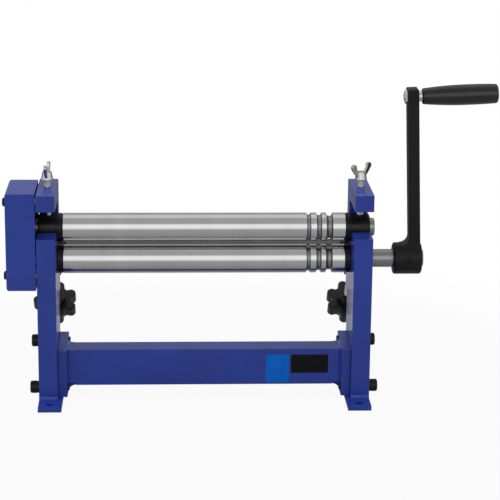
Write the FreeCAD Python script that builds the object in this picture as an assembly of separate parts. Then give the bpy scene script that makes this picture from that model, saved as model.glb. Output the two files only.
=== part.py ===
import FreeCAD, Part
import math
import os

# Side plates, all heights from the bench and all setbacks from the plates' front face
plate_thickness = 20.0
head_depth = 82.0
column_depth = 67.0
head_drop = 36.0
jaw_thickness = 17.5
mouth_height = 30.0
mouth_radius = 8.0
casting_radius = 6.0

# Feet
foot_width = 25.0
foot_thickness = 5.0
foot_reach = 26.0
foot_radius = 4.0
foot_hole_diameter = 9.0
foot_hole_inset = 11.0

# Cross beam
beam_depth = 27.0
beam_height = 40.0
beam_setback = 19.0
beam_bottom = 15.2
beam_flare = 9.0
beam_rise = 5.0
flange_thickness = 10.0
flange_setback = 8.0
flange_depth = 52.0
flange_front_height = 57.5
flange_back_height = 63.0
flange_bottom = 5.3

# Frame bolts
bolt_diameter = 8.0
bolt_head_diameter = 13.0
bolt_head_height = 8.0
bolt_head_chamfer = 0.8
bolt_socket_width = 6.0
bolt_socket_depth = 4.0
bolt_end = 2.0
bolt_hole_clearance = 0.25
washer_thickness = 2.0
washer_diameter = 13.0
low_bolt_setback = 16.0
low_bolt_height = 14.5
high_bolt_setback = 51.0
high_bolt_height = 56.0

# Rolls
roll_length = 305.0
roll_diameter = 31.0
roll_chamfer = 1.0
journal_diameter = 19.5
roll_setback = 46.0
lower_roll_height = 149.8
roll_spacing = 35.1
top_travel_down = 3.5
top_travel_up = 12.5
journal_end = 5.4
first_groove = 17.9
groove_pitch = 11.2
groove_radii = [3.5, 2.7, 2.15]

# Rear roll, which slides in inclined slots
rear_setback = 95.0
rear_drop = 6.8
rear_angle = 50.0
rear_travel = 28.0
boss_wall = 5.0
boss_reach = 26.0
boss_width = 24.0

# Bushings
bushing_diameter = 29.5
lower_bushing_diameter = 27.0
bushing_flange_diameter = 31.0
bushing_flange_width = 4.9
bushing_chamfer = 1.5
spot_depth = 1.5

# Clearances
slide_clearance = 0.3
jaw_clearance = 0.05
seat_gap = 0.3
running_clearance = 0.05
thread_clearance = 0.1

# Gears
gear_teeth = 12
gear_module = 2.6
gear_pressure_angle = 20.0
gear_addendum = 2.75
gear_dedendum = 2.65
gear_tooth_thickness = 3.55
gear_width = 16.0
gear_offset = 4.0
gear_stub = 3.0

# Gear cover
cover_width = 31.3
cover_gap = 1.0
cover_depth = 69.0
cover_drop = 22.8
cover_overhang = 2.0
cover_sheet = 1.5
cover_bend_radius = 3.0
post_diameter = 8.0
post_stud_diameter = 5.0
post_stud_length = 8.0
post_setback = 12.0
low_post_inset = 14.0
high_post_inset = 11.0
cover_screw_head_diameter = 9.5
cover_screw_head_height = 3.0
cover_screw_chamfer = 1.2
cover_screw_length = 12.0

# Crank
shaft_length = 59.4
hub_diameter = 34.5
hub_start = 26.7
hub_length = 30.8
hub_edge_radius = 2.5
crank_radius = 178.0
crank_lean = 2.3
arm_thickness = 12.0
arm_width = 20.0
arm_overrun = 9.0
arm_outer_inset = 7.3
arm_root_radius = 9.0
arm_edge_radius = 1.5
set_screw_diameter = 8.0
set_screw_length = 8.0
set_screw_inset = 0.5
set_screw_socket = 4.0

# Crank grip
grip_length = 81.0
grip_small_diameter = 17.0
grip_large_diameter = 22.0
grip_end_radius = 3.0
grip_wall = 6.0
pin_diameter = 8.0
pin_nut_diameter = 13.0
pin_nut_height = 2.5
pin_collar_diameter = 11.0
pin_collar_length = 3.5

# Wing screws
wing_screw_diameter = 8.0
wing_clear_height = 8.0
wing_hub_height = 8.0
wing_hub_bottom_diameter = 13.0
wing_hub_top_diameter = 10.0
wing_span = 29.0
wing_height = 17.0
wing_thickness = 3.0
wing_tip_radius = 3.2
left_wing_turn = 96.0
right_wing_turn = 41.0

# Star knobs
knob_screw_diameter = 10.0
knob_distance = 100.0
knob_diameter = 50.0
knob_lobes = 7
knob_lobe_radius = 5.5
knob_valley_radius = 4.0
knob_thickness = 16.0
knob_hub_diameter = 25.0
knob_hub_length = 10.0
knob_chamfer = 1.6
knob_insert_depth = 16.0

# Values that follow from the sizes above
roll_end = roll_length / 2
inner_face = roll_end + bushing_flange_width + 2 * seat_gap
outer_face = inner_face + plate_thickness
front = -column_depth / 2
top_roll_height = lower_roll_height + roll_spacing
rear_height = lower_roll_height - rear_drop
slot_radius = bushing_diameter / 2 + slide_clearance
jaw_bottom = top_roll_height + top_travel_up + slot_radius + jaw_clearance
mouth_floor = jaw_bottom - mouth_height
plate_height = jaw_bottom + jaw_thickness
column_height = rear_height - head_drop
cover_bottom = lower_roll_height - cover_drop
cover_top = plate_height + cover_overhang
low_post_height = cover_bottom + low_post_inset
high_post_height = cover_top - high_post_inset
rear_cosine = math.cos(math.radians(rear_angle))
rear_sine = math.sin(math.radians(rear_angle))
gear_face = outer_face + gear_offset
stub_end = gear_face + gear_width + gear_stub
hub_face = outer_face + hub_start
shaft_end = outer_face + shaft_length
along = FreeCAD.Vector(1, 0, 0)
back = FreeCAD.Vector(0, 1, 0)
up = FreeCAD.Vector(0, 0, 1)
rear_up = FreeCAD.Vector(0, -rear_cosine, rear_sine)


def point(x, setback, height):
    return FreeCAD.Vector(x, front + setback, height)


def block(x0, x1, setback0, setback1, height0, height1):
    corner = point(x0, setback0, height0)
    return Part.makeBox(x1 - x0, setback1 - setback0, height1 - height0, corner)


def rod(radius, x0, x1, setback, height):
    return Part.makeCylinder(radius, x1 - x0, point(x0, setback, height), along)


def rod_along(radius, start, direction, length):
    return Part.makeCylinder(radius, length, start, direction)


def polygon_face(points):
    return Part.Face(Part.makePolygon(points + [points[0]]))


def side_prism(outline, x0, x1):
    corners = [point(x0, setback, height) for setback, height in outline]
    return polygon_face(corners).extrude(along * (x1 - x0))


def hexagon_prism(width, center, direction, length):
    turned = FreeCAD.Rotation(up, direction)
    radius = width / math.sqrt(3)
    corners = []
    for step in range(6):
        angle = math.radians(60 * step)
        corner = FreeCAD.Vector(radius * math.cos(angle), radius * math.sin(angle), 0)
        corners.append(center + turned.multVec(corner))
    return polygon_face(corners).extrude(direction * length)


def mirrored(shape):
    return shape.mirror(FreeCAD.Vector(0, 0, 0), along)


def rear_point(x, travel, across=0.0):
    setback = rear_setback - travel * rear_cosine + across * rear_sine
    height = rear_height + travel * rear_sine + across * rear_cosine
    return point(x, setback, height)


def rear_slot(radius, x0, x1, low, high):
    low_end = Part.makeCylinder(radius, x1 - x0, rear_point(x0, low), along)
    high_end = Part.makeCylinder(radius, x1 - x0, rear_point(x0, high), along)
    middle = rear_bar(radius, x0, x1, low, high)
    return low_end.fuse([high_end, middle]).removeSplitter()


def rear_bar(half_width, x0, x1, low, high):
    corners = [
        rear_point(x0, low, -half_width),
        rear_point(x0, low, half_width),
        rear_point(x0, high, half_width),
        rear_point(x0, high, -half_width),
    ]
    return polygon_face(corners).extrude(along * (x1 - x0))


def edges_at(shape, test):
    return [edge for edge in shape.Edges if test(edge)]


def is_along_x(edge):
    if edge.Curve.TypeId != "Part::GeomLine":
        return False
    return abs(edge.Curve.Direction.x) > 0.999


def is_inner_corner(shape, edge):
    middle = edge.valueAt((edge.FirstParameter + edge.LastParameter) / 2)
    solid_steps = 0
    for step in range(16):
        angle = math.radians(22.5 * step + 10)
        probe = middle + FreeCAD.Vector(0, 0.4 * math.cos(angle), 0.4 * math.sin(angle))
        if shape.isInside(probe, 0.0001, True):
            solid_steps += 1
    return solid_steps > 9


def casting_blank():
    head = block(inner_face, outer_face, 0, head_depth, column_height, plate_height)
    column = block(inner_face, outer_face, 0, column_depth, foot_thickness, column_height)
    lug = rear_slot(slot_radius + boss_wall, inner_face, outer_face, 0, rear_travel)
    nose = rear_bar(boss_width / 2, inner_face, outer_face, -boss_reach, 0)
    blank = head.fuse([column, lug, nose]).removeSplitter()
    corners = edges_at(blank, lambda edge: is_along_x(edge) and is_inner_corner(blank, edge))
    return blank.makeFillet(casting_radius, corners)


def foot():
    return block(
        outer_face - foot_width,
        outer_face,
        -foot_reach,
        column_depth + foot_reach,
        0,
        foot_thickness,
    )


def root_fillet(setback, side):
    corner = [
        (setback, foot_thickness),
        (setback + side * foot_radius, foot_thickness),
        (setback, foot_thickness + foot_radius),
    ]
    wedge = side_prism(corner, inner_face, outer_face)
    hollow = rod(
        foot_radius,
        inner_face - 1,
        outer_face + 1,
        setback + side * foot_radius,
        foot_thickness + foot_radius,
    )
    return wedge.cut(hollow)


def mouth():
    half = slot_radius
    opening = block(
        inner_face - 1,
        outer_face + 1,
        -1,
        roll_setback + half,
        mouth_floor,
        jaw_bottom,
    )
    corners = edges_at(
        opening,
        lambda edge: is_along_x(edge)
        and edge.CenterOfMass.y > front
        and edge.CenterOfMass.z > jaw_bottom - 1,
    )
    opening = opening.makeFillet(mouth_radius, corners)
    pocket_height = top_roll_height - top_travel_down
    shaft = block(
        inner_face - 1,
        outer_face + 1,
        roll_setback - half,
        roll_setback + half,
        pocket_height,
        mouth_floor + 1,
    )
    cup = rod(half, inner_face - 1, outer_face + 1, roll_setback, pocket_height)
    return opening.fuse([shaft, cup]).removeSplitter()


def foot_holes():
    x = outer_face - foot_width / 2
    holes = []
    for setback in [foot_hole_inset - foot_reach, column_depth + foot_reach - foot_hole_inset]:
        start = point(x, setback, -1)
        holes.append(rod_along(foot_hole_diameter / 2, start, up, foot_thickness + 2))
    return holes


def bolt_places():
    return [
        (low_bolt_setback, low_bolt_height),
        (high_bolt_setback, high_bolt_height),
    ]


def side_plate():
    plate = casting_blank().fuse([foot(), root_fillet(0, -1), root_fillet(column_depth, 1)])
    plate = plate.removeSplitter()
    cuts = foot_holes()
    cuts.append(mouth())
    cuts.append(rear_slot(slot_radius, inner_face - 1, outer_face + 1, 0, rear_travel))
    bore_radius = lower_bushing_diameter / 2 + running_clearance
    cuts.append(rod(bore_radius, inner_face - 1, outer_face + 1, roll_setback, lower_roll_height))
    jaw_hole = wing_screw_diameter / 2 + thread_clearance
    middle = (inner_face + outer_face) / 2
    cuts.append(rod_along(jaw_hole, point(middle, roll_setback, jaw_bottom - 1), up, jaw_thickness + 2))
    nose_hole = knob_screw_diameter / 2 + thread_clearance
    cuts.append(rod_along(nose_hole, rear_point(middle, -boss_reach - 1), rear_up, boss_reach))
    hole_radius = bolt_diameter / 2 + bolt_hole_clearance
    for setback, height in bolt_places():
        cuts.append(rod(hole_radius, inner_face - 1, outer_face + 1, setback, height))
    return plate.cut(cuts)


def post_holes():
    radius = post_stud_diameter / 2 + thread_clearance
    depth = post_stud_length + 1
    return [
        rod(radius, outer_face - depth, outer_face + 1, post_setback, height)
        for height in [low_post_height, high_post_height]
    ]


def flared_beam():
    reach = inner_face - flange_thickness
    half = beam_depth / 2
    center = beam_setback + half
    plan = flared_profile(reach, half, half, beam_flare, beam_flare)
    plan.translate(point(0, center, 0))
    tall = plan.extrude(up * plate_height)
    middle = beam_bottom + beam_height / 2
    rise = flared_profile(reach, beam_height / 2, beam_height / 2, beam_rise, beam_flare)
    rise.rotate(FreeCAD.Vector(0, 0, 0), along, 90)
    rise.translate(point(0, 0, middle))
    deep = rise.extrude(back * (flange_setback + flange_depth))
    trimmed = side_prism(flange_outline(), -inner_face, inner_face)
    return tall.common(deep).common(trimmed).removeSplitter()


def flared_profile(reach, upper, lower, upper_flare, lower_flare):
    corners = []
    for side, level, flare in [(1, upper, upper_flare), (-1, -lower, lower_flare)]:
        sign = 1 if level > 0 else -1
        start = FreeCAD.Vector(-side * reach, level + sign * flare, 0)
        middle_left = quarter_point(-side * reach, side, level, sign, flare)
        left = FreeCAD.Vector(-side * (reach - flare), level, 0)
        right = FreeCAD.Vector(side * (reach - flare), level, 0)
        middle_right = quarter_point(side * reach, -side, level, sign, flare)
        end = FreeCAD.Vector(side * reach, level + sign * flare, 0)
        corners.append((start, middle_left, left, right, middle_right, end))
    edges = []
    for index in range(2):
        start, middle_left, left, right, middle_right, end = corners[index]
        edges.append(Part.Arc(start, middle_left, left).toShape())
        edges.append(Part.makeLine(left, right))
        edges.append(Part.Arc(right, middle_right, end).toShape())
        edges.append(Part.makeLine(end, corners[1 - index][0]))
    return Part.Face(Part.Wire(edges))


def quarter_point(x, inward, level, sign, flare):
    slack = flare * (1 - math.sqrt(0.5))
    return FreeCAD.Vector(x + inward * slack, level + sign * slack, 0)


def flange_outline():
    return [
        (flange_setback, flange_bottom),
        (flange_setback, flange_front_height),
        (flange_setback + flange_depth, flange_back_height),
        (flange_setback + flange_depth, flange_bottom),
    ]


def cross_beam():
    right = side_prism(flange_outline(), inner_face - flange_thickness, inner_face)
    beam = flared_beam().fuse([right, mirrored(right)]).removeSplitter()
    radius = bolt_diameter / 2 + thread_clearance
    holes = []
    for setback, height in bolt_places():
        hole = rod(radius, inner_face - flange_thickness - beam_flare, inner_face + 1, setback, height)
        holes.extend([hole, mirrored(hole)])
    return beam.cut(holes)


def frame_bolt(setback, height):
    seat = outer_face + washer_thickness
    head = rod(bolt_head_diameter / 2, seat, seat + bolt_head_height, setback, height)
    rim = edges_at(head, lambda edge: edge.CenterOfMass.x > seat + bolt_head_height / 2
                   and edge.Length > 3 * bolt_head_diameter)
    head = head.makeChamfer(bolt_head_chamfer, rim)
    tip = inner_face - flange_thickness - bolt_end
    shank = rod(bolt_diameter / 2, tip, seat, setback, height)
    mouth_point = point(seat + bolt_head_height - bolt_socket_depth, setback, height)
    socket = hexagon_prism(bolt_socket_width, mouth_point, along, bolt_socket_depth + 1)
    return head.fuse(shank).removeSplitter().cut(socket)


def spring_washer(setback, height):
    ring = rod(washer_diameter / 2, outer_face, outer_face + washer_thickness, setback, height)
    hole = rod(
        bolt_diameter / 2 + bolt_hole_clearance,
        outer_face - 1,
        outer_face + washer_thickness + 1,
        setback,
        height,
    )
    split = block(
        outer_face - 1,
        outer_face + washer_thickness + 1,
        setback - 0.5,
        setback + 0.5,
        height,
        height + washer_diameter,
    )
    return ring.cut([hole, split])


def on_both_sides(make_piece):
    pieces = []
    for setback, height in bolt_places():
        piece = make_piece(setback, height)
        pieces.extend([piece, mirrored(piece)])
    return Part.makeCompound(pieces)


def bushing(center, diameter):
    height = center.z
    setback = center.y - front
    sleeve = rod(diameter / 2, inner_face - 1, outer_face, setback, height)
    rim = edges_at(sleeve, lambda edge: edge.CenterOfMass.x > outer_face - 1
                   and edge.Length > 3 * diameter)
    sleeve = sleeve.makeChamfer(bushing_chamfer, rim)
    collar = rod(
        bushing_flange_diameter / 2,
        roll_end + seat_gap,
        inner_face - seat_gap,
        setback,
        height,
    )
    bore = rod(
        journal_diameter / 2 + running_clearance,
        roll_end,
        outer_face + 1,
        setback,
        height,
    )
    return collar.fuse(sleeve).removeSplitter().cut(bore)


def top_bushing():
    middle = (inner_face + outer_face) / 2
    body = bushing(point(0, roll_setback, top_roll_height), bushing_diameter)
    floor = top_roll_height + bushing_diameter / 2 - spot_depth
    radius = wing_screw_diameter / 2 + slide_clearance
    return body.cut(rod_along(radius, point(middle, roll_setback, floor), up, bushing_diameter))


def rear_bushing():
    middle = (inner_face + outer_face) / 2
    body = bushing(point(0, rear_setback, rear_height), bushing_diameter)
    floor = bushing_diameter / 2 - spot_depth
    radius = knob_screw_diameter / 2 + slide_clearance
    return body.cut(rod_along(radius, rear_point(middle, -floor), rear_up * -1, bushing_diameter))


def lower_bushing():
    return bushing(point(0, roll_setback, lower_roll_height), lower_bushing_diameter)


def turned_bar(radius, x0, x1, setback, height):
    bar = rod(radius, x0, x1, setback, height)
    rims = edges_at(bar, lambda edge: edge.Length > 3 * radius and edge.Curve.TypeId == "Part::GeomCircle")
    return bar.makeChamfer(roll_chamfer, rims)


def plain_roll(setback, height, left_end, right_end):
    body = turned_bar(roll_diameter / 2, -roll_end, roll_end, setback, height)
    left = turned_bar(journal_diameter / 2, left_end, -roll_end + 5, setback, height)
    right = turned_bar(journal_diameter / 2, roll_end - 5, right_end, setback, height)
    return body.fuse([left, right]).removeSplitter()


def wire_grooves(setback, height):
    grooves = []
    for index, radius in enumerate(groove_radii):
        center = point(roll_end - first_groove - index * groove_pitch, setback, height)
        grooves.append(Part.makeTorus(roll_diameter / 2, radius, center, along))
    return grooves


def top_roll():
    roll = plain_roll(roll_setback, top_roll_height, -stub_end, outer_face + journal_end)
    return roll.cut(wire_grooves(roll_setback, top_roll_height))


def lower_roll():
    roll = plain_roll(roll_setback, lower_roll_height, -stub_end, shaft_end)
    return roll.cut(wire_grooves(roll_setback, lower_roll_height))


def rear_roll():
    return plain_roll(rear_setback, rear_height, -outer_face, outer_face)


def involute_angle(radius):
    base = gear_module * gear_teeth / 2 * math.cos(math.radians(gear_pressure_angle))
    pressure = math.acos(base / radius)
    return math.tan(pressure) - pressure


def tooth_half_angle(radius):
    pitch_radius = gear_module * gear_teeth / 2
    half = gear_tooth_thickness / 2 / pitch_radius
    return half + involute_angle(pitch_radius) - involute_angle(radius)


def polar(radius, angle):
    return FreeCAD.Vector(0, radius * math.cos(angle), radius * math.sin(angle))


def gear_outline(phase):
    pitch_radius = gear_module * gear_teeth / 2
    base = pitch_radius * math.cos(math.radians(gear_pressure_angle)) + 0.01
    tip = pitch_radius + gear_addendum
    root = pitch_radius - gear_dedendum
    middle = (base + tip) / 2
    edges = []
    for tooth in range(gear_teeth):
        axis = phase + 2 * math.pi * tooth / gear_teeth
        following = axis + 2 * math.pi / gear_teeth
        at_base = tooth_half_angle(base)
        rising = [polar(r, axis - tooth_half_angle(r)) for r in [base, middle, tip]]
        falling = [polar(r, axis + tooth_half_angle(r)) for r in [tip, middle, base]]
        edges.append(Part.makeLine(polar(root, axis - at_base), rising[0]))
        edges.append(Part.Arc(rising[0], rising[1], rising[2]).toShape())
        edges.append(Part.Arc(rising[2], polar(tip, axis), falling[0]).toShape())
        edges.append(Part.Arc(falling[0], falling[1], falling[2]).toShape())
        edges.append(Part.makeLine(falling[2], polar(root, axis + at_base)))
        valley = polar(root, (axis + following) / 2)
        next_root = polar(root, following - at_base)
        edges.append(Part.Arc(polar(root, axis + at_base), valley, next_root).toShape())
    return Part.Face(Part.Wire(edges))


def gear(height, phase):
    blank = gear_outline(phase)
    blank.translate(point(-gear_face - gear_width, roll_setback, height))
    toothed = blank.extrude(along * gear_width)
    bore = rod(
        journal_diameter / 2 + running_clearance,
        -gear_face - gear_width - 1,
        -gear_face + 1,
        roll_setback,
        height,
    )
    return toothed.cut(bore)


def cover_shell(inset):
    x0 = -outer_face - cover_gap - cover_width + inset
    x1 = -outer_face - cover_gap + (1 if inset else 0)
    shell = block(x0, x1, inset, cover_depth - inset, cover_bottom + inset, cover_top - inset)
    bends = edges_at(shell, lambda edge: edge.CenterOfMass.x < x0 + 0.01)
    return shell.makeFillet(cover_bend_radius - inset, bends)


def gear_cover():
    cover = cover_shell(0).cut(cover_shell(cover_sheet))
    radius = post_stud_diameter / 2 + bolt_hole_clearance
    x0 = -outer_face - cover_gap - cover_width
    for height in [low_post_height, high_post_height]:
        cover = cover.cut(rod(radius, x0 - 1, x0 + cover_sheet + 1, post_setback, height))
    return cover


def cover_post(height):
    start = -outer_face - cover_gap - cover_width + cover_sheet
    body = rod(post_diameter / 2, start, -outer_face, post_setback, height)
    stud = rod(post_stud_diameter / 2, -outer_face, -outer_face + post_stud_length, post_setback, height)
    tapped = rod(
        post_stud_diameter / 2 + thread_clearance,
        start - 1,
        start + cover_screw_length,
        post_setback,
        height,
    )
    return body.fuse(stud).removeSplitter().cut(tapped)


def cover_screw(height):
    face = -outer_face - cover_gap - cover_width
    shank = rod(
        post_stud_diameter / 2,
        face,
        face + cover_screw_length - 1,
        post_setback,
        height,
    )
    head = rod(cover_screw_head_diameter / 2, face - cover_screw_head_height, face, post_setback, height)
    rim = edges_at(head, lambda edge: edge.CenterOfMass.x < face - 1
                   and edge.Length > 2 * cover_screw_head_diameter)
    head = head.makeChamfer(cover_screw_chamfer, rim)
    socket_center = point(face - cover_screw_head_height - 1, post_setback, height)
    socket = hexagon_prism(3.0, socket_center, along, cover_screw_head_height)
    return head.fuse(shank).removeSplitter().cut(socket)


def posts_and_screws(make_piece):
    return Part.makeCompound([make_piece(height) for height in [low_post_height, high_post_height]])


def crank_frame():
    center = point(hub_face + hub_length - arm_outer_inset, roll_setback, lower_roll_height)
    return FreeCAD.Placement(center, FreeCAD.Rotation(back, -crank_lean))


def crank_profile():
    half = arm_thickness / 2
    top = crank_radius + arm_overrun
    shoulder = hub_diameter / 2 - 0.5
    root = arm_root_radius
    slack = root * (1 - math.sqrt(0.5))
    inner = -half
    outer = half
    low = 0.0
    corners = [
        FreeCAD.Vector(outer, 0, low),
        FreeCAD.Vector(outer, 0, top),
        FreeCAD.Vector(inner, 0, top),
        FreeCAD.Vector(inner, 0, shoulder + root),
        FreeCAD.Vector(inner - root, 0, shoulder),
        FreeCAD.Vector(inner - root, 0, low),
    ]
    bend = FreeCAD.Vector(inner - slack, 0, shoulder + slack)
    edges = [
        Part.makeLine(corners[0], corners[1]),
        Part.makeLine(corners[1], corners[2]),
        Part.makeLine(corners[2], corners[3]),
        Part.Arc(corners[3], bend, corners[4]).toShape(),
        Part.makeLine(corners[4], corners[5]),
        Part.makeLine(corners[5], corners[0]),
    ]
    return Part.Face(Part.Wire(edges))


def crank_arm():
    bar = crank_profile()
    bar.translate(FreeCAD.Vector(0, -arm_width / 2, 0))
    bar = bar.extrude(back * arm_width)
    softened = edges_at(bar, lambda edge: edge.CenterOfMass.z > hub_diameter / 2)
    bar = bar.makeFillet(arm_edge_radius, softened)
    pin_hole = Part.makeCylinder(
        pin_diameter / 2 + running_clearance,
        arm_thickness + 2,
        FreeCAD.Vector(-arm_thickness / 2 - 1, 0, crank_radius),
        along,
    )
    bar = bar.cut(pin_hole)
    bar.Placement = crank_frame()
    hub = rod(hub_diameter / 2, hub_face, hub_face + hub_length, roll_setback, lower_roll_height)
    rims = edges_at(hub, lambda edge: edge.Length > 3 * hub_diameter)
    hub = hub.makeFillet(hub_edge_radius, rims)
    bore = rod(
        journal_diameter / 2 + running_clearance,
        hub_face - 1,
        hub_face + hub_length + 1,
        roll_setback,
        lower_roll_height,
    )
    screw_hole = rod_along(
        set_screw_diameter / 2 + thread_clearance,
        set_screw_point(0),
        back * -1,
        hub_diameter,
    )
    return bar.fuse(hub).removeSplitter().cut([bore, screw_hole])


def set_screw_point(distance):
    x = hub_face + hub_length / 2
    center = point(x, roll_setback, lower_roll_height)
    return center + back * -distance


def crank_set_screw():
    outer = hub_diameter / 2 - set_screw_inset
    inner = max(outer - set_screw_length, journal_diameter / 2 + seat_gap)
    body = rod_along(set_screw_diameter / 2, set_screw_point(inner), back * -1, outer - inner)
    socket = hexagon_prism(set_screw_socket, set_screw_point(outer - 3), back * -1, 4)
    return body.cut(socket)


def local_rod(radius, start, length):
    return Part.makeCylinder(radius, length, FreeCAD.Vector(start, 0, crank_radius), along)


def grip_pin():
    inner = -arm_thickness / 2
    outer = arm_thickness / 2
    grip_start = outer + pin_collar_length + 2 * seat_gap
    nut = hexagon_prism(
        pin_nut_diameter,
        FreeCAD.Vector(inner - pin_nut_height, 0, crank_radius),
        along,
        pin_nut_height,
    )
    collar = local_rod(pin_collar_diameter / 2, outer, pin_collar_length + seat_gap)
    stud_end = grip_start + grip_length - grip_wall - 1
    stud = local_rod(pin_diameter / 2, inner - pin_nut_height - 1, stud_end - inner + pin_nut_height + 1)
    pin = nut.fuse([collar, stud]).removeSplitter()
    pin.Placement = crank_frame()
    return pin


def crank_grip():
    start = arm_thickness / 2 + pin_collar_length + 2 * seat_gap
    end = start + grip_length
    small = grip_small_diameter / 2
    large = grip_large_diameter / 2
    low = crank_radius
    crown = start + grip_length * 0.62
    upper = [
        FreeCAD.Vector(start, 0, low + small - 1),
        FreeCAD.Vector(start + 1, 0, low + small),
        FreeCAD.Vector(crown, 0, low + large),
        FreeCAD.Vector(end - grip_end_radius, 0, low + large - 0.6),
        FreeCAD.Vector(end, 0, low + large - 0.6 - grip_end_radius),
    ]
    swell = FreeCAD.Vector((start + crown) / 2, 0, low + (small + large) / 2 + 0.7)
    taper = FreeCAD.Vector((crown + end) / 2, 0, low + large - 0.15)
    slack = grip_end_radius * (1 - math.sqrt(0.5))
    shoulder = FreeCAD.Vector(end - slack, 0, low + large - 0.6 - slack)
    edges = [
        Part.makeLine(FreeCAD.Vector(start, 0, low), upper[0]),
        Part.makeLine(upper[0], upper[1]),
        Part.Arc(upper[1], swell, upper[2]).toShape(),
        Part.Arc(upper[2], taper, upper[3]).toShape(),
        Part.Arc(upper[3], shoulder, upper[4]).toShape(),
        Part.makeLine(upper[4], FreeCAD.Vector(end, 0, low)),
        Part.makeLine(FreeCAD.Vector(end, 0, low), FreeCAD.Vector(start, 0, low)),
    ]
    profile = Part.Face(Part.Wire(edges))
    grip = profile.revolve(FreeCAD.Vector(0, 0, low), along, 360)
    bore = local_rod(pin_diameter / 2 + running_clearance, start - 1, grip_length - grip_wall + 1)
    grip = grip.cut(bore)
    grip.Placement = crank_frame()
    return grip


def wing_outline():
    root = wing_hub_top_diameter / 2 - 1
    reach = wing_span / 2 - wing_tip_radius
    top = wing_height - wing_tip_radius
    tip_low = FreeCAD.Vector(reach + wing_tip_radius * 0.9, 0, top - wing_tip_radius * 0.44)
    tip_mid = FreeCAD.Vector(reach + wing_tip_radius * 0.5, 0, top + wing_tip_radius * 0.87)
    tip_high = FreeCAD.Vector(reach - wing_tip_radius * 0.9, 0, top + wing_tip_radius * 0.44)
    low = FreeCAD.Vector(root, 0, 1)
    under = FreeCAD.Vector(root + (reach - root) * 0.66, 0, wing_height * 0.33)
    high = FreeCAD.Vector(root, 0, wing_hub_height - 0.5)
    over = FreeCAD.Vector(root + (reach - root) * 0.42, 0, wing_height * 0.62)
    center = FreeCAD.Vector(0, 0, 1)
    crown = FreeCAD.Vector(0, 0, wing_hub_height - 0.5)
    edges = [
        Part.makeLine(center, low),
        Part.Arc(low, under, tip_low).toShape(),
        Part.Arc(tip_low, tip_mid, tip_high).toShape(),
        Part.Arc(tip_high, over, high).toShape(),
        Part.makeLine(high, crown),
        Part.makeLine(crown, center),
    ]
    return Part.Face(Part.Wire(edges))


def wing_screw(turn):
    base = plate_height + wing_clear_height
    tip = top_roll_height + bushing_diameter / 2 - spot_depth + seat_gap
    hub = Part.makeCone(wing_hub_bottom_diameter / 2, wing_hub_top_diameter / 2, wing_hub_height)
    wing = wing_outline()
    wing.translate(FreeCAD.Vector(0, -wing_thickness / 2, 0))
    wing = wing.extrude(back * wing_thickness)
    other = wing.copy()
    other.rotate(FreeCAD.Vector(0, 0, 0), up, 180)
    shank = Part.makeCylinder(
        wing_screw_diameter / 2,
        base - tip + wing_hub_height / 2,
        FreeCAD.Vector(0, 0, tip - base),
    )
    screw = hub.fuse([wing, other, shank]).removeSplitter()
    middle = (inner_face + outer_face) / 2
    screw.Placement = FreeCAD.Placement(point(middle, roll_setback, base), FreeCAD.Rotation(up, turn))
    return screw


def knob_outline():
    lobe_center = knob_diameter / 2 - knob_lobe_radius
    half_step = math.pi / knob_lobes
    reach = knob_lobe_radius + knob_valley_radius
    offset = lobe_center * math.sin(half_step)
    valley_center = lobe_center * math.cos(half_step) + math.sqrt(reach ** 2 - offset ** 2)
    edges = []
    for lobe in range(knob_lobes):
        axis = 2 * half_step * lobe
        before = touching_point(lobe_center, axis, valley_center, axis - half_step)
        after = touching_point(lobe_center, axis, valley_center, axis + half_step)
        following = touching_point(lobe_center, axis + 2 * half_step, valley_center, axis + half_step)
        crest = flat_polar(knob_diameter / 2, axis)
        dip = flat_polar(valley_center - knob_valley_radius, axis + half_step)
        edges.append(Part.Arc(before, crest, after).toShape())
        edges.append(Part.Arc(after, dip, following).toShape())
    return Part.Face(Part.Wire(edges))


def flat_polar(radius, angle):
    return FreeCAD.Vector(radius * math.cos(angle), radius * math.sin(angle), 0)


def touching_point(lobe_center, lobe_angle, valley_center, valley_angle):
    lobe = flat_polar(lobe_center, lobe_angle)
    valley = flat_polar(valley_center, valley_angle)
    share = knob_lobe_radius / (knob_lobe_radius + knob_valley_radius)
    return lobe + (valley - lobe) * share


def star_knob():
    body = knob_outline().extrude(up * knob_thickness)
    rims = edges_at(
        body,
        lambda edge: abs(edge.CenterOfMass.z - knob_thickness / 2) > knob_thickness / 2 - 0.1,
    )
    body = body.makeChamfer(knob_chamfer, rims)
    hub = Part.makeCylinder(
        knob_hub_diameter / 2,
        knob_hub_length + 2,
        FreeCAD.Vector(0, 0, knob_thickness - 2),
    )
    knob = body.fuse(hub).removeSplitter()
    mouth_height_local = knob_thickness + knob_hub_length
    bore = Part.makeCylinder(
        knob_screw_diameter / 2 + running_clearance,
        knob_insert_depth + 1,
        FreeCAD.Vector(0, 0, mouth_height_local - knob_insert_depth),
    )
    knob = knob.cut(bore)
    middle = (inner_face + outer_face) / 2
    base = rear_point(middle, -knob_distance - knob_thickness / 2)
    knob.Placement = FreeCAD.Placement(base, FreeCAD.Rotation(up, rear_up))
    return knob


def knob_screw():
    middle = (inner_face + outer_face) / 2
    tip = -(bushing_diameter / 2 - spot_depth + seat_gap)
    knob_face = -knob_distance + knob_thickness / 2 + knob_hub_length
    end = knob_face - knob_insert_depth + seat_gap
    return rod_along(knob_screw_diameter / 2, rear_point(middle, end), rear_up, tip - end)


def save(name, shape):
    shape.exportStep("parts/" + name + ".step")


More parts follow.
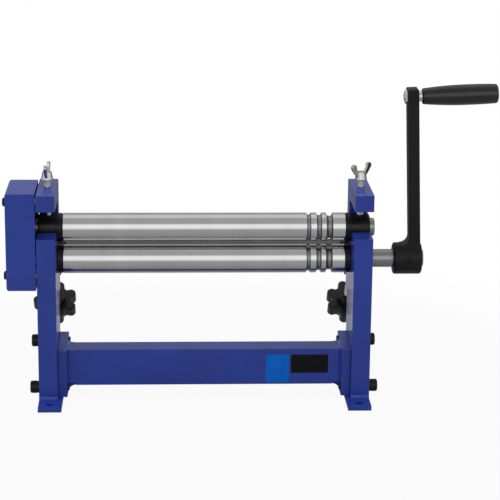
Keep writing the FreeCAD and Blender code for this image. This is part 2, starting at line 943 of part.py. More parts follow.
def main():
    os.makedirs("parts", exist_ok=True)
    plate = side_plate()
    save("plate_right", plate)
    save("plate_left", mirrored(plate.cut(post_holes())))
    save("cross_beam", cross_beam())
    save("frame_bolts", on_both_sides(frame_bolt))
    save("spring_washers", on_both_sides(spring_washer))
    save("lower_bushing_right", lower_bushing())
    save("lower_bushing_left", mirrored(lower_bushing()))
    save("top_bushing_right", top_bushing())
    save("top_bushing_left", mirrored(top_bushing()))
    save("rear_bushing_right", rear_bushing())
    save("rear_bushing_left", mirrored(rear_bushing()))
    save("top_roll", top_roll())
    save("lower_roll", lower_roll())
    save("rear_roll", rear_roll())
    tooth_up = math.pi / 2
    gap_down = -math.pi / 2 + math.pi / gear_teeth
    save("lower_gear", gear(lower_roll_height, tooth_up))
    save("top_gear", gear(top_roll_height, gap_down))
    save("gear_cover", gear_cover())
    save("cover_posts", posts_and_screws(cover_post))
    save("cover_screws", posts_and_screws(cover_screw))
    save("crank_arm", crank_arm())
    save("crank_set_screw", crank_set_screw())
    save("grip_pin", grip_pin())
    save("crank_grip", crank_grip())
    save("wing_screw_right", wing_screw(right_wing_turn))
    save("wing_screw_left", mirrored(wing_screw(left_wing_turn)))
    save("star_knob_right", star_knob())
    save("star_knob_left", mirrored(star_knob()))
    save("knob_screw_right", knob_screw())
    save("knob_screw_left", mirrored(knob_screw()))


main()
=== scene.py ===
import math

import bmesh
import bpy
from mathutils import Matrix, Vector


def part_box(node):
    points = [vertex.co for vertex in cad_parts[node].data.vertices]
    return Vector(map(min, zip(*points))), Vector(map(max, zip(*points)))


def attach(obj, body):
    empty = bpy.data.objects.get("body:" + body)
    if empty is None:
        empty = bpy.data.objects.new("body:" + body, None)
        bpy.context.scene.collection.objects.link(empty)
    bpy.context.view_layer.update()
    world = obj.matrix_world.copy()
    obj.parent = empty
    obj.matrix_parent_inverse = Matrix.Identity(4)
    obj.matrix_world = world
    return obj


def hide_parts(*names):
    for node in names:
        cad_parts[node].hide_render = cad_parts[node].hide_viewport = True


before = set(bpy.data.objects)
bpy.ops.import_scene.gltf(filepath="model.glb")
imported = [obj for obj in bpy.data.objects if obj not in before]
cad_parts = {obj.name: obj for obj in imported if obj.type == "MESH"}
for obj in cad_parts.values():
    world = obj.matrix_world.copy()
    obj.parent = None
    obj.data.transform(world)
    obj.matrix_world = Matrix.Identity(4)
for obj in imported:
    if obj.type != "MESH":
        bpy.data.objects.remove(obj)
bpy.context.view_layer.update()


# Blue castings
# The two side plates and the cross beam are grey iron castings, machined where they meet and
# sprayed with a gloss royal blue enamel. The beam keeps more of the sand's grain than the plates.

enamel_colour = (0.015, 0.040, 0.285)
enamel_roughness = (0.15, 0.23)
enamel_index = 1.5
enamel_gloss = 0.42
enamel_mottle = 0.1
cloud_scale = 22
haze_scale = 60
sand_scale = 260
sand_height = 0.0006
peel_scale = 900
peel_height = 0.0002
edge_samples = 6
plate_edge_radius = 0.0008
beam_edge_radius = 0.0012


def fresh_material(name):
    material = bpy.data.materials.new(name)
    material.use_nodes = True
    nodes = material.node_tree.nodes
    shader = nodes["Principled BSDF"]
    return material, nodes, material.node_tree.links, shader


def object_position(nodes, links, scale=(1, 1, 1), shift=(0, 0, 0)):
    place = nodes.new("ShaderNodeTexCoord")
    mapping = nodes.new("ShaderNodeMapping")
    mapping.inputs["Location"].default_value = shift
    mapping.inputs["Scale"].default_value = scale
    links.new(place.outputs["Object"], mapping.inputs["Vector"])
    return mapping.outputs["Vector"]


def noise(nodes, links, position, scale, detail=3.0, roughness=0.5):
    texture = nodes.new("ShaderNodeTexNoise")
    texture.inputs["Scale"].default_value = scale
    texture.inputs["Detail"].default_value = detail
    texture.inputs["Roughness"].default_value = roughness
    links.new(position, texture.inputs["Vector"])
    return texture.outputs["Fac"]


def ramp(nodes, links, value, low, high, low_place=0.35, high_place=0.65):
    colours = nodes.new("ShaderNodeValToRGB")
    colours.color_ramp.elements[0].position = low_place
    colours.color_ramp.elements[0].color = low
    colours.color_ramp.elements[1].position = high_place
    colours.color_ramp.elements[1].color = high
    links.new(value, colours.inputs["Fac"])
    return colours.outputs["Color"]


def grey(value):
    return (value, value, value, 1)


def shaded(colour, share):
    return (colour[0] * share, colour[1] * share, colour[2] * share, 1)


def mottled(nodes, links, value, colour, spread):
    return ramp(nodes, links, value, shaded(colour, 1 - spread), shaded(colour, 1 + spread))


def bump(nodes, links, height, strength, distance, below=None):
    relief = nodes.new("ShaderNodeBump")
    relief.inputs["Strength"].default_value = strength
    relief.inputs["Distance"].default_value = distance
    links.new(height, relief.inputs["Height"])
    if below is not None:
        links.new(below, relief.inputs["Normal"])
    return relief.outputs["Normal"]


def rounded_edges(nodes, radius):
    edge = nodes.new("ShaderNodeBevel")
    edge.samples = edge_samples
    edge.inputs["Radius"].default_value = radius
    return edge.outputs["Normal"]


def blue_enamel(name, colour, grain, peel, edge_radius):
    material, nodes, links, shader = fresh_material(name)
    position = object_position(nodes, links)
    cloud = noise(nodes, links, position, cloud_scale, 4)
    tones = mottled(nodes, links, cloud, colour, enamel_mottle)
    links.new(tones, shader.inputs["Base Color"])
    haze = noise(nodes, links, position, haze_scale, 3)
    smooth, dull = enamel_roughness
    links.new(ramp(nodes, links, haze, grey(smooth), grey(dull)), shader.inputs["Roughness"])
    shader.inputs["IOR"].default_value = enamel_index
    shader.inputs["Specular IOR Level"].default_value = enamel_gloss
    corners = rounded_edges(nodes, edge_radius)
    sand = noise(nodes, links, position, sand_scale, 3)
    cast = bump(nodes, links, sand, grain, sand_height, corners)
    skin = noise(nodes, links, position, peel_scale, 2)
    links.new(bump(nodes, links, skin, peel, peel_height, cast), shader.inputs["Normal"])
    return material


def finish_nodes(names, material):
    for name in names:
        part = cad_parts[name]
        for place in part.material_slots:
            place.material = material


plate_enamel = blue_enamel("plate_enamel", enamel_colour, 0.05, 0.06, plate_edge_radius)
finish_nodes(["plate_right", "plate_left"], plate_enamel)
beam_enamel = blue_enamel("beam_enamel", enamel_colour, 0.16, 0.1, beam_edge_radius)
finish_nodes(["cross_beam"], beam_enamel)


# Patches on the beam
# Two thin vinyl patches with rounded corners, stuck side by side on the beam's front face. One
# is plain satin black and the other plain bright blue.

patch_thickness = 0.00015
patch_corner = 0.0012
corner_steps = 6
face_behind_flange = 0.011
patch_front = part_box("cross_beam")[0].y + face_behind_flange
patch_top = 0.0486
black_patch_ends = (0.0940, 0.1345)
black_patch_bottom = 0.0279
blue_patch_ends = (0.0668, 0.0918)
blue_patch_bottom = 0.0172
vinyl_roughness = (0.34, 0.44)
vinyl_gloss = 0.12
vinyl_mottle = 0.08
vinyl_cloud_scale = 90
vinyl_ripple_scale = 180
vinyl_ripple_strength = 0.04
vinyl_ripple_height = 0.0003


def vinyl(name, colour):
    material, nodes, links, shader = fresh_material(name)
    position = object_position(nodes, links)
    cloud = noise(nodes, links, position, vinyl_cloud_scale, 3)
    tones = mottled(nodes, links, cloud, colour, vinyl_mottle)
    links.new(tones, shader.inputs["Base Color"])
    smooth, dull = vinyl_roughness
    links.new(ramp(nodes, links, cloud, grey(smooth), grey(dull)), shader.inputs["Roughness"])
    shader.inputs["Specular IOR Level"].default_value = vinyl_gloss
    ripple = noise(nodes, links, position, vinyl_ripple_scale, 1)
    relief = bump(nodes, links, ripple, vinyl_ripple_strength, vinyl_ripple_height)
    links.new(relief, shader.inputs["Normal"])
    return material


def add_piece(name, mesh, body, replaced=None):
    piece = bpy.data.objects.new(name, mesh)
    bpy.context.scene.collection.objects.link(piece)
    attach(piece, body)
    if replaced:
        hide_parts(replaced)


def patch(name, ends, low_z, high_z, material):
    low_x, high_x = ends
    outline = []
    for cx, cz, start in [
        (high_x - patch_corner, high_z - patch_corner, 0),
        (low_x + patch_corner, high_z - patch_corner, 90),
        (low_x + patch_corner, low_z + patch_corner, 180),
        (high_x - patch_corner, low_z + patch_corner, 270),
    ]:
        for step in range(corner_steps + 1):
            angle = math.radians(start + step * 90 / corner_steps)
            x = cx + patch_corner * math.cos(angle)
            z = cz + patch_corner * math.sin(angle)
            outline.append((x, z))
    count = len(outline)
    points = [(x, patch_front - patch_thickness, z) for x, z in outline]
    points += [(x, patch_front, z) for x, z in outline]
    front = list(range(count))
    back = list(range(2 * count - 1, count - 1, -1))
    sides = []
    for here in range(count):
        after = (here + 1) % count
        sides.append([after, here, here + count, after + count])
    mesh = bpy.data.meshes.new(name)
    mesh.from_pydata(points, [], [front, back, *sides])
    mesh.materials.append(material)
    add_piece(name, mesh, "frame")


black_vinyl = vinyl("black_vinyl", (0.004, 0.004, 0.005))
blue_vinyl = vinyl("blue_vinyl", (0.0, 0.125, 0.56))
patch("black_patch", black_patch_ends, black_patch_bottom, patch_top, black_vinyl)
patch("blue_patch", blue_patch_ends, blue_patch_bottom, patch_top, blue_vinyl)


# Gear cover
# A box folded from 1.5 mm sheet steel, sprayed in the same blue, with tight bends. Two screws
# hold it to posts on the left plate.

cover_edge_radius = 0.0005
cover_enamel = blue_enamel("cover_enamel", enamel_colour, 0.0, 0.05, cover_edge_radius)
finish_nodes(["gear_cover"], cover_enamel)


# Rolls
# Three cold drawn steel rolls, turned between centres. The two feed rolls are ground and
# polished between the grooves. The grooves and journals stay as turned, rougher, and are painted
# half as bright, which is painted shade in the grooves. The rear roll is painted dark grey:
# painted shade, for the shadow seen through the gap between the feed rolls.

roll_radius = 0.0155
ground_depth = 0.0003
ground_colour = (0.56, 0.555, 0.56)
# Share of the ground colour left in the grooves and journals: painted shade.
groove_shade_share = 0.5
turned_roughness = 0.34
cloud_stretch = (30, 6, 6)
line_stretch = (1800, 6, 6)
line_height = 0.00002
steel_mottle = 0.04
steel_edge_radius = 0.0003


def ground_skin(nodes, links, axis, radius):
    from_axis = object_position(nodes, links, (0, 1, 1), (0, -axis.y, -axis.z))
    distance = nodes.new("ShaderNodeVectorMath")
    distance.operation = "LENGTH"
    links.new(from_axis, distance.inputs[0])
    skin = nodes.new("ShaderNodeMapRange")
    skin.inputs["From Min"].default_value = radius - 2 * ground_depth
    skin.inputs["From Max"].default_value = radius - ground_depth
    links.new(distance.outputs["Value"], skin.inputs["Value"])
    return skin.outputs["Result"]


def mixed(nodes, links, share, low, high):
    mix = nodes.new("ShaderNodeMix")
    mix.data_type = "RGBA"
    mix.inputs["A"].default_value = low
    links.new(share, mix.inputs["Factor"])
    links.new(high, mix.inputs["B"])
    return mix.outputs["Result"]


def turned_steel(name, colour, rough_low, rough_high, line_depth):
    material, nodes, links, shader = fresh_material(name)
    shader.inputs["Metallic"].default_value = 1.0
    wide = object_position(nodes, links, cloud_stretch)
    cloud = noise(nodes, links, wide, 1, 3)
    tones = mottled(nodes, links, cloud, colour, steel_mottle)
    links.new(tones, shader.inputs["Base Color"])
    fine = object_position(nodes, links, line_stretch)
    lines = noise(nodes, links, fine, 1, 2)
    links.new(
        ramp(nodes, links, lines, grey(rough_low), grey(rough_high)),
        shader.inputs["Roughness"],
    )
    corners = rounded_edges(nodes, steel_edge_radius)
    relief = bump(nodes, links, lines, line_depth, line_height, corners)
    links.new(relief, shader.inputs["Normal"])
    return material


def ground_steel(node):
    material = turned_steel(node + "_steel", ground_colour, 0.10, 0.15, 0.05)
    nodes = material.node_tree.nodes
    links = material.node_tree.links
    low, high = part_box(node)
    skin = ground_skin(nodes, links, (low + high) / 2, roll_radius)
    shader = nodes["Principled BSDF"]
    # In the grooves and journals the colour is painted darker, as painted shade, and the roughness
    # is that of turned steel.
    for socket, groove_shade_and_roughness in [
        ("Base Color", shaded(ground_colour, groove_shade_share)),
        ("Roughness", grey(turned_roughness)),
    ]:
        ground = shader.inputs[socket].links[0].from_socket
        links.new(mixed(nodes, links, skin, groove_shade_and_roughness, ground), shader.inputs[socket])
    finish_nodes([node], material)


ground_steel("top_roll")
ground_steel("lower_roll")

# The rear roll's dark grey colour is painted shade, for the shadow it lies in behind the gap
# between the feed rolls.
rear_roll_shade_steel = turned_steel("rear_roll_shade_steel", (0.10, 0.10, 0.103), 0.22, 0.32, 0.1)
finish_nodes(["rear_roll"], rear_roll_shade_steel)

gear_steel = turned_steel("gear_steel", (0.36, 0.35, 0.34), 0.28, 0.42, 0.3)
finish_nodes(["top_gear", "lower_gear"], gear_steel)


# Bushings, bolts and washers
# Turned steel bushings and socket head bolts, blackened in hot oxide and oiled, which leaves a
# satin black. The bolt heads are knurled for the fingers.

knurl_sides = 3
knurl_count = 42
knurl_width = 0.0007
knurl_start = 0.0009
knurl_end = 0.0012
knurl_sink = knurl_width / 4
head_radius = 0.0065
head_height = 0.008
head_seat = 0.18
bolt_axes = [(-0.0175, 0.0145), (0.0175, 0.056)]
black_patch_scale = 60
black_shares = (0.75, 1.3)
black_skin_strength = 0.15
black_skin_height = 0.0003


def satin_black(name, value, gloss, rough_low, rough_high, grain, edge_radius):
    material, nodes, links, shader = fresh_material(name)
    position = object_position(nodes, links)
    patchy = noise(nodes, links, position, black_patch_scale, 3)
    low, high = black_shares
    tones = ramp(nodes, links, patchy, grey(value * low), grey(value * high))
    links.new(tones, shader.inputs["Base Color"])
    links.new(
        ramp(nodes, links, patchy, grey(rough_low), grey(rough_high)),
        shader.inputs["Roughness"],
    )
    shader.inputs["Specular IOR Level"].default_value = gloss
    corners = rounded_edges(nodes, edge_radius)
    skin = noise(nodes, links, position, grain, 2)
    relief = bump(nodes, links, skin, black_skin_strength, black_skin_height, corners)
    links.new(relief, shader.inputs["Normal"])
    return material


oxide_black = satin_black("oxide_black", 0.006, 0.25, 0.25, 0.38, 900, 0.0004)
finish_nodes(
    [
        "top_bushing_right",
        "top_bushing_left",
        "lower_bushing_right",
        "lower_bushing_left",
        "rear_bushing_right",
        "rear_bushing_left",
        "frame_bolts",
        "spring_washers",
        "cover_screws",
        "crank_set_screw",
    ],
    oxide_black,
)


def new_tree(name, inputs):
    tree = bpy.data.node_groups.new(name, "GeometryNodeTree")
    tree.interface.new_socket("Geometry", in_out="INPUT", socket_type="NodeSocketGeometry")
    for label, kind in inputs:
        tree.interface.new_socket(label, in_out="INPUT", socket_type=kind)
    tree.interface.new_socket("Geometry", in_out="OUTPUT", socket_type="NodeSocketGeometry")
    return tree, tree.nodes.new("NodeGroupInput").outputs


def number(tree, operation, first, second=None):
    node = tree.nodes.new("ShaderNodeMath")
    node.operation = operation
    for socket, value in zip(node.inputs, [first, second]):
        if value is None:
            continue
        if isinstance(value, (int, float)):
            socket.default_value = value
        else:
            tree.links.new(value, socket)
    return node.outputs["Value"]


def close_tree(tree, geometry, material):
    real = tree.nodes.new("GeometryNodeRealizeInstances")
    coat = tree.nodes.new("GeometryNodeSetMaterial")
    coat.inputs["Material"].default_value = material
    result = tree.nodes.new("NodeGroupOutput")
    tree.links.new(geometry, real.inputs["Geometry"])
    tree.links.new(real.outputs["Geometry"], coat.inputs["Geometry"])
    tree.links.new(coat.outputs["Geometry"], result.inputs[0])


def grown_mesh(name, tree, values):
    seed = bpy.data.objects.new(name, bpy.data.meshes.new(name))
    bpy.context.scene.collection.objects.link(seed)
    modifier = seed.modifiers.new(name, "NODES")
    modifier.node_group = tree
    for item in tree.interface.items_tree:
        if item.in_out == "INPUT" and item.name in values:
            modifier[item.identifier] = values[item.name]
    graph = bpy.context.evaluated_depsgraph_get()
    mesh = bpy.data.meshes.new_from_object(seed.evaluated_get(graph), depsgraph=graph)
    bpy.data.objects.remove(seed)
    mesh.name = name
    return mesh


def knurl_tree(material):
    tree, given = new_tree(
        "knurled_ring",
        [
            ("Ridges", "NodeSocketInt"),
            ("Ring radius", "NodeSocketFloat"),
            ("Ridge radius", "NodeSocketFloat"),
            ("Ridge length", "NodeSocketFloat"),
        ],
    )
    ring = tree.nodes.new("GeometryNodeMeshCircle")
    tree.links.new(given["Ridges"], ring.inputs["Vertices"])
    tree.links.new(given["Ring radius"], ring.inputs["Radius"])
    ridge = tree.nodes.new("GeometryNodeMeshCylinder")
    ridge.inputs["Vertices"].default_value = knurl_sides
    tree.links.new(given["Ridge radius"], ridge.inputs["Radius"])
    tree.links.new(given["Ridge length"], ridge.inputs["Depth"])
    place = tree.nodes.new("GeometryNodeInputPosition")
    parts = tree.nodes.new("ShaderNodeSeparateXYZ")
    tree.links.new(place.outputs["Position"], parts.inputs["Vector"])
    turn = tree.nodes.new("ShaderNodeCombineXYZ")
    angle = number(tree, "ARCTAN2", parts.outputs["Y"], parts.outputs["X"])
    tree.links.new(angle, turn.inputs["Z"])
    copies = tree.nodes.new("GeometryNodeInstanceOnPoints")
    tree.links.new(ring.outputs["Mesh"], copies.inputs["Points"])
    tree.links.new(ridge.outputs["Mesh"], copies.inputs["Instance"])
    tree.links.new(turn.outputs["Vector"], copies.inputs["Rotation"])
    close_tree(tree, copies.outputs["Instances"], material)
    return tree


def joined(name, meshes_and_places):
    shape = bmesh.new()
    for mesh, place in meshes_and_places:
        start = len(shape.verts)
        shape.from_mesh(mesh)
        shape.verts.ensure_lookup_table()
        bmesh.ops.transform(shape, matrix=place, verts=shape.verts[start:])
    result = bpy.data.meshes.new(name)
    shape.to_mesh(result)
    shape.free()
    for material in meshes_and_places[0][0].materials:
        result.materials.append(material)
    return result


knurl_length = head_height - knurl_start - knurl_end
knurl_mesh = grown_mesh(
    "knurled_ring",
    knurl_tree(oxide_black),
    {
        "Ridges": knurl_count,
        "Ring radius": head_radius - knurl_sink,
        "Ridge radius": knurl_width / 2,
        "Ridge length": knurl_length,
    },
)
knurl_middle = head_seat + knurl_start + knurl_length / 2
along_rolls = Matrix.Rotation(math.radians(90), 4, "Y")
knurl_places = []
for side in (1, -1):
    for depth, height in bolt_axes:
        place = Matrix.Translation((side * knurl_middle, depth, height)) @ along_rolls
        knurl_places.append((knurl_mesh, place))
add_piece("bolt_knurls", joined("bolt_knurls", knurl_places), "frame")


# Crank
# A forged arm and hub, powder coated black with a fine texture. The grip is a moulded plastic
# barrel that turns on a zinc plated pin.

powder_black = satin_black("powder_black", 0.006, 0.2, 0.36, 0.5, 1400, 0.0009)
finish_nodes(["crank_arm"], powder_black)

grip_black = satin_black("grip_black", 0.005, 0.5, 0.16, 0.22, 500, 0.0006)
finish_nodes(["crank_grip"], grip_black)


# Zinc plated screws
# The wing screws are M8 and the knob screws M10, both bright zinc plated steel with rolled
# threads. The grip pin and the gear cover's posts have the same plating.

thread_around = 20
steps_per_turn = 6
zinc_roughness = (0.22, 0.36)
zinc_bloom_scale = 160
zinc_edge_radius = 0.0004
zinc_colour = (0.62, 0.62, 0.60)
zinc_dull_share = 0.84
zinc_bloom_strength = 0.1
zinc_bloom_height = 0.0002


def zinc_plate(name, colour):
    material, nodes, links, shader = fresh_material(name)
    shader.inputs["Metallic"].default_value = 1.0
    position = object_position(nodes, links)
    bloom = noise(nodes, links, position, zinc_bloom_scale, 4)
    tones = ramp(nodes, links, bloom, shaded(colour, zinc_dull_share), shaded(colour, 1))
    links.new(tones, shader.inputs["Base Color"])
    smooth, dull = zinc_roughness
    links.new(ramp(nodes, links, bloom, grey(smooth), grey(dull)), shader.inputs["Roughness"])
    corners = rounded_edges(nodes, zinc_edge_radius)
    relief = bump(nodes, links, bloom, zinc_bloom_strength, zinc_bloom_height, corners)
    links.new(relief, shader.inputs["Normal"])
    return material


bright_zinc = zinc_plate("bright_zinc", zinc_colour)
finish_nodes(["grip_pin", "cover_posts"], bright_zinc)


def thread_tree(material):
    tree, given = new_tree(
        "threaded_bar",
        [
            ("Around", "NodeSocketInt"),
            ("Steps", "NodeSocketInt"),
            ("Radius", "NodeSocketFloat"),
            ("Length", "NodeSocketFloat"),
            ("Pitch", "NodeSocketFloat"),
            ("Thread depth", "NodeSocketFloat"),
        ],
    )
    bar = tree.nodes.new("GeometryNodeMeshCylinder")
    tree.links.new(given["Around"], bar.inputs["Vertices"])
    tree.links.new(given["Steps"], bar.inputs["Side Segments"])
    tree.links.new(given["Radius"], bar.inputs["Radius"])
    tree.links.new(given["Length"], bar.inputs["Depth"])
    place = tree.nodes.new("GeometryNodeInputPosition")
    parts = tree.nodes.new("ShaderNodeSeparateXYZ")
    tree.links.new(place.outputs["Position"], parts.inputs["Vector"])
    angle = number(tree, "ARCTAN2", parts.outputs["Y"], parts.outputs["X"])
    turn = number(tree, "DIVIDE", angle, 2 * math.pi)
    climb = number(tree, "DIVIDE", parts.outputs["Z"], given["Pitch"])
    phase = number(tree, "FRACT", number(tree, "SUBTRACT", climb, turn))
    wave = number(tree, "ABSOLUTE", number(tree, "SUBTRACT", phase, 0.5))
    drop = number(tree, "MULTIPLY", number(tree, "MULTIPLY", wave, 2), given["Thread depth"])
    share = number(tree, "SUBTRACT", 1, number(tree, "DIVIDE", drop, given["Radius"]))
    spread = tree.nodes.new("ShaderNodeCombineXYZ")
    tree.links.new(number(tree, "MULTIPLY", parts.outputs["X"], share), spread.inputs["X"])
    tree.links.new(number(tree, "MULTIPLY", parts.outputs["Y"], share), spread.inputs["Y"])
    tree.links.new(parts.outputs["Z"], spread.inputs["Z"])
    cut = tree.nodes.new("GeometryNodeSetPosition")
    tree.links.new(bar.outputs["Mesh"], cut.inputs["Geometry"])
    tree.links.new(spread.outputs["Vector"], cut.inputs["Position"])
    close_tree(tree, cut.outputs["Geometry"], material)
    return tree


threaded_bar = thread_tree(bright_zinc)


def thread_mesh(name, radius, length, pitch, depth):
    values = {
        "Around": thread_around,
        "Steps": round(length / pitch * steps_per_turn),
        "Radius": radius,
        "Length": length,
        "Pitch": pitch,
        "Thread depth": depth,
    }
    return grown_mesh(name, threaded_bar, values)


wing_base = 0.238
wing_screw_setback = 0.0125
wing_screw_side = 0.168
wing_radius = 0.004
wing_pitch = 0.00125
wing_thread_depth = 0.00065
thread_lap = 0.0005
weld_distance = 0.000001
level_margin = 0.00005


def without_shank(name, node, level):
    shape = bmesh.new()
    shape.from_mesh(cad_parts[node].data)
    bmesh.ops.remove_doubles(shape, verts=shape.verts, dist=weld_distance)
    limit = level - level_margin
    shank = [face for face in shape.faces if face.calc_center_median().z < limit]
    bmesh.ops.delete(shape, geom=shank, context="FACES")
    rim = [edge for edge in shape.edges if edge.is_boundary]
    bmesh.ops.holes_fill(shape, edges=rim, sides=0)
    mesh = bpy.data.meshes.new(name)
    shape.to_mesh(mesh)
    shape.free()
    mesh.materials.append(bright_zinc)
    return mesh


for side, node in [(1, "wing_screw_right"), (-1, "wing_screw_left")]:
    low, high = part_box(node)
    length = wing_base - low.z + thread_lap
    shank = thread_mesh(node + "_thread", wing_radius, length, wing_pitch, wing_thread_depth)
    middle = Vector((side * wing_screw_side, wing_screw_setback, low.z + length / 2))
    head = without_shank(node + "_head", node, wing_base)
    mesh = joined(node + "_seen", [(head, Matrix()), (shank, Matrix.Translation(middle))])
    add_piece(node + "_threaded", mesh, node, node)

knob_screw_radius = 0.005
knob_screw_pitch = 0.0015
knob_screw_thread_depth = 0.0008
slope_rounds = 20


def bar_in_box(low, high, radius):
    slope = math.atan2(high.z - low.z, high.y - low.y)
    for _ in range(slope_rounds):
        reach_y = high.y - low.y - 2 * radius * math.sin(slope)
        reach_z = high.z - low.z - 2 * radius * math.cos(slope)
        slope = math.atan2(reach_z, reach_y)
    return math.hypot(reach_y, reach_z), slope


for node, body in [
    ("knob_screw_right", "rear_screw_right"),
    ("knob_screw_left", "rear_screw_left"),
]:
    low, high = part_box(node)
    length, slope = bar_in_box(low, high, knob_screw_radius)
    shank = thread_mesh(
        node + "_thread", knob_screw_radius, length, knob_screw_pitch, knob_screw_thread_depth
    )
    tilt = Matrix.Rotation(math.pi / 2 - slope, 4, "X")
    place = Matrix.Translation((low + high) / 2) @ tilt
    mesh = joined(node + "_seen", [(shank, place)])
    add_piece(node + "_threaded", mesh, body, node)


# Star knobs
# Two seven lobed knobs, moulded in black phenolic round the lower ends of the rear screws. They
# are turned by hand to raise the rear roll.

knob_black = satin_black("knob_black", 0.005, 0.35, 0.24, 0.34, 800, 0.0009)
finish_nodes(["star_knob_right", "star_knob_left"], knob_black)


# Camera
# It stands two metres in front, a little above the machine and a little to its left, and looks
# down on it through a long lens.

camera_place = (-0.045, -1.9328, 0.6824)
camera_pitch = 15.04
camera_yaw = 2.78
camera_roll = 0.6
camera_focal_pixels = 1862
camera_sensor = 36
camera_clip = (0.1, 50)
picture_width = 500
camera_data = bpy.data.cameras.new("camera")
camera = bpy.data.objects.new("camera", camera_data)
bpy.context.scene.collection.objects.link(camera)
camera.location = camera_place
level = Matrix.Rotation(-math.radians(camera_yaw), 4, "Z")
tipped = Matrix.Rotation(math.radians(90 - camera_pitch), 4, "X")
rolled = Matrix.Rotation(math.radians(camera_roll), 4, "Z")
camera.rotation_euler = (level @ tipped @ rolled).to_euler()
camera_data.sensor_width = camera_sensor
camera_data.lens = camera_focal_pixels / picture_width * camera_sensor
camera_data.clip_start, camera_data.clip_end = camera_clip
bpy.context.scene.camera = camera


# Lamps and world
# A wide soft box in front, one overhead and one on each side. What metal mirrors is painted on the
# world in bands of height, darker behind the machine than in front. The camera sees plain white.

front_size = (2.4, 1.3)
top_size = (2.0, 1.0)
side_size = (0.9, 0.9)


def area_lamp(name, place, target, size, brightness):
    width, height = size
    data = bpy.data.lights.new(name, "AREA")
    data.shape = "RECTANGLE"
    data.size = width
    data.size_y = height
    data.energy = brightness * math.pi * width * height
    lamp = bpy.data.objects.new(name, data)
    bpy.context.scene.collection.objects.link(lamp)
    lamp.location = place
    lamp.rotation_euler = (Vector(target) - Vector(place)).to_track_quat("-Z", "Y").to_euler()


area_lamp("lamp_top", (0, 0.5, 1.55), (0, 0, 0.1), top_size, 0.4)
area_lamp("lamp_front", (-0.1, -2.1, 0.98), (0, 0, 0.16), front_size, 0.42)
area_lamp("lamp_left", (-1.7, -0.2, 0.9), (0, 0, 0.12), side_size, 0.5)
area_lamp("lamp_right", (1.7, -0.2, 0.9), (0, 0, 0.12), side_size, 0.5)

world = bpy.data.worlds.new("world")
bpy.context.scene.world = world
world.use_nodes = True
sky_nodes = world.node_tree.nodes
sky_links = world.node_tree.links
direction = sky_nodes.new("ShaderNodeTexCoord")
heading = sky_nodes.new("ShaderNodeSeparateXYZ")
sky_links.new(direction.outputs["Generated"], heading.inputs["Vector"])


def spread_range(value, low, high):
    scaled = sky_nodes.new("ShaderNodeMapRange")
    scaled.inputs["From Min"].default_value = low
    scaled.inputs["From Max"].default_value = high
    sky_links.new(value, scaled.inputs["Value"])
    return scaled.outputs["Result"]


def height_bands(levels):
    bands = sky_nodes.new("ShaderNodeValToRGB")
    elements = bands.color_ramp.elements
    for element, (height, value) in zip(elements, [levels[0], levels[-1]]):
        element.position = (height + 1) / 2
        element.color = grey(value)
    for height, value in levels[1:-1]:
        elements.new((height + 1) / 2).color = grey(value)
    sky_links.new(spread_range(heading.outputs["Z"], -1, 1), bands.inputs["Fac"])
    return bands.outputs["Color"]


sky_levels = [(0, 0.62), (1, 1.2)]
front_levels = [(-0.12, 0.5), (-0.07, 1.0), (0.48, 0.95), (0.7, 0.55)]
back_levels = [(-0.12, 0.2), (-0.07, 0.3), (0.3, 0.35), (0.6, 0.6), (1, 0.5)]
half_blend = 0.1
sky = sky_nodes["Background"]
sky_links.new(height_bands(sky_levels), sky.inputs["Color"])
white = sky_nodes.new("ShaderNodeBackground")
white.inputs["Color"].default_value = grey(1)
either = sky_nodes.new("ShaderNodeMix")
either.data_type = "RGBA"
towards_back = spread_range(heading.outputs["Y"], -half_blend, half_blend)
sky_links.new(towards_back, either.inputs["Factor"])
sky_links.new(height_bands(front_levels), either.inputs["A"])
sky_links.new(height_bands(back_levels), either.inputs["B"])
mirrored = sky_nodes.new("ShaderNodeBackground")
sky_links.new(either.outputs["Result"], mirrored.inputs["Color"])
rays = sky_nodes.new("ShaderNodeLightPath")
unlit = sky_nodes.new("ShaderNodeMixShader")
sky_links.new(rays.outputs["Is Glossy Ray"], unlit.inputs["Fac"])
sky_links.new(sky.outputs["Background"], unlit.inputs[1])
sky_links.new(mirrored.outputs["Background"], unlit.inputs[2])
seen = sky_nodes.new("ShaderNodeMath")
seen.operation = "MAXIMUM"
sky_links.new(rays.outputs["Is Camera Ray"], seen.inputs[0])
sky_links.new(rays.outputs["Is Transmission Ray"], seen.inputs[1])
choice = sky_nodes.new("ShaderNodeMixShader")
sky_links.new(seen.outputs["Value"], choice.inputs["Fac"])
sky_links.new(unlit.outputs["Shader"], choice.inputs[1])
sky_links.new(white.outputs["Background"], choice.inputs[2])
sky_links.new(choice.outputs["Shader"], sky_nodes["World Output"].inputs["Surface"])


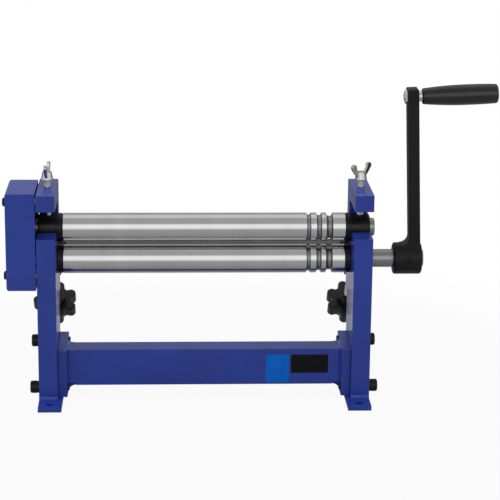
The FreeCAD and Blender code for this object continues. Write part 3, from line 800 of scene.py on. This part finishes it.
# Floor
# A small pale disc under the feet, which takes the machine's shadow. Its rim glows as white as
# the world behind it, so that no edge shows.

floor_radius = 0.62
floor_sides = 96
floor_drop = 0.0003
floor_grey = 0.42
floor_roughness = 0.8
fade_start = 0.35
middle_glow = 0.93
floor_mesh = bpy.data.meshes.new("floor")
floor_shape = bmesh.new()
bmesh.ops.create_circle(floor_shape, cap_ends=True, segments=floor_sides, radius=floor_radius)
floor_shape.to_mesh(floor_mesh)
floor_shape.free()
floor = bpy.data.objects.new("floor", floor_mesh)
bpy.context.scene.collection.objects.link(floor)
floor.location.z = -floor_drop
floor_material, floor_nodes, floor_links, floor_shader = fresh_material("pale_floor")
floor_shader.inputs["Base Color"].default_value = grey(floor_grey)
floor_shader.inputs["Roughness"].default_value = floor_roughness
glow = floor_nodes.new("ShaderNodeEmission")
glow.inputs["Color"].default_value = grey(1)
spread = object_position(floor_nodes, floor_links, (1 / floor_radius,) * 3)
ball = floor_nodes.new("ShaderNodeTexGradient")
ball.gradient_type = "SPHERICAL"
floor_links.new(spread, ball.inputs["Vector"])
inner = floor_nodes.new("ShaderNodeMapRange")
inner.inputs["From Max"].default_value = fade_start
inner.inputs["To Min"].default_value = 1.0
inner.inputs["To Max"].default_value = middle_glow
floor_links.new(ball.outputs["Fac"], inner.inputs["Value"])
floor_rays = floor_nodes.new("ShaderNodeLightPath")
floor_seen = floor_nodes.new("ShaderNodeMath")
floor_seen.operation = "MULTIPLY"
floor_links.new(floor_rays.outputs["Is Camera Ray"], floor_seen.inputs[0])
floor_links.new(inner.outputs["Result"], floor_seen.inputs[1])
floor_mix = floor_nodes.new("ShaderNodeMixShader")
floor_links.new(floor_seen.outputs["Value"], floor_mix.inputs["Fac"])
floor_links.new(floor_shader.outputs["BSDF"], floor_mix.inputs[1])
floor_links.new(glow.outputs["Emission"], floor_mix.inputs[2])
floor_links.new(floor_mix.outputs["Shader"], floor_nodes["Material Output"].inputs["Surface"])
floor_mesh.materials.append(floor_material)

bpy.context.scene.view_settings.view_transform = "Standard"
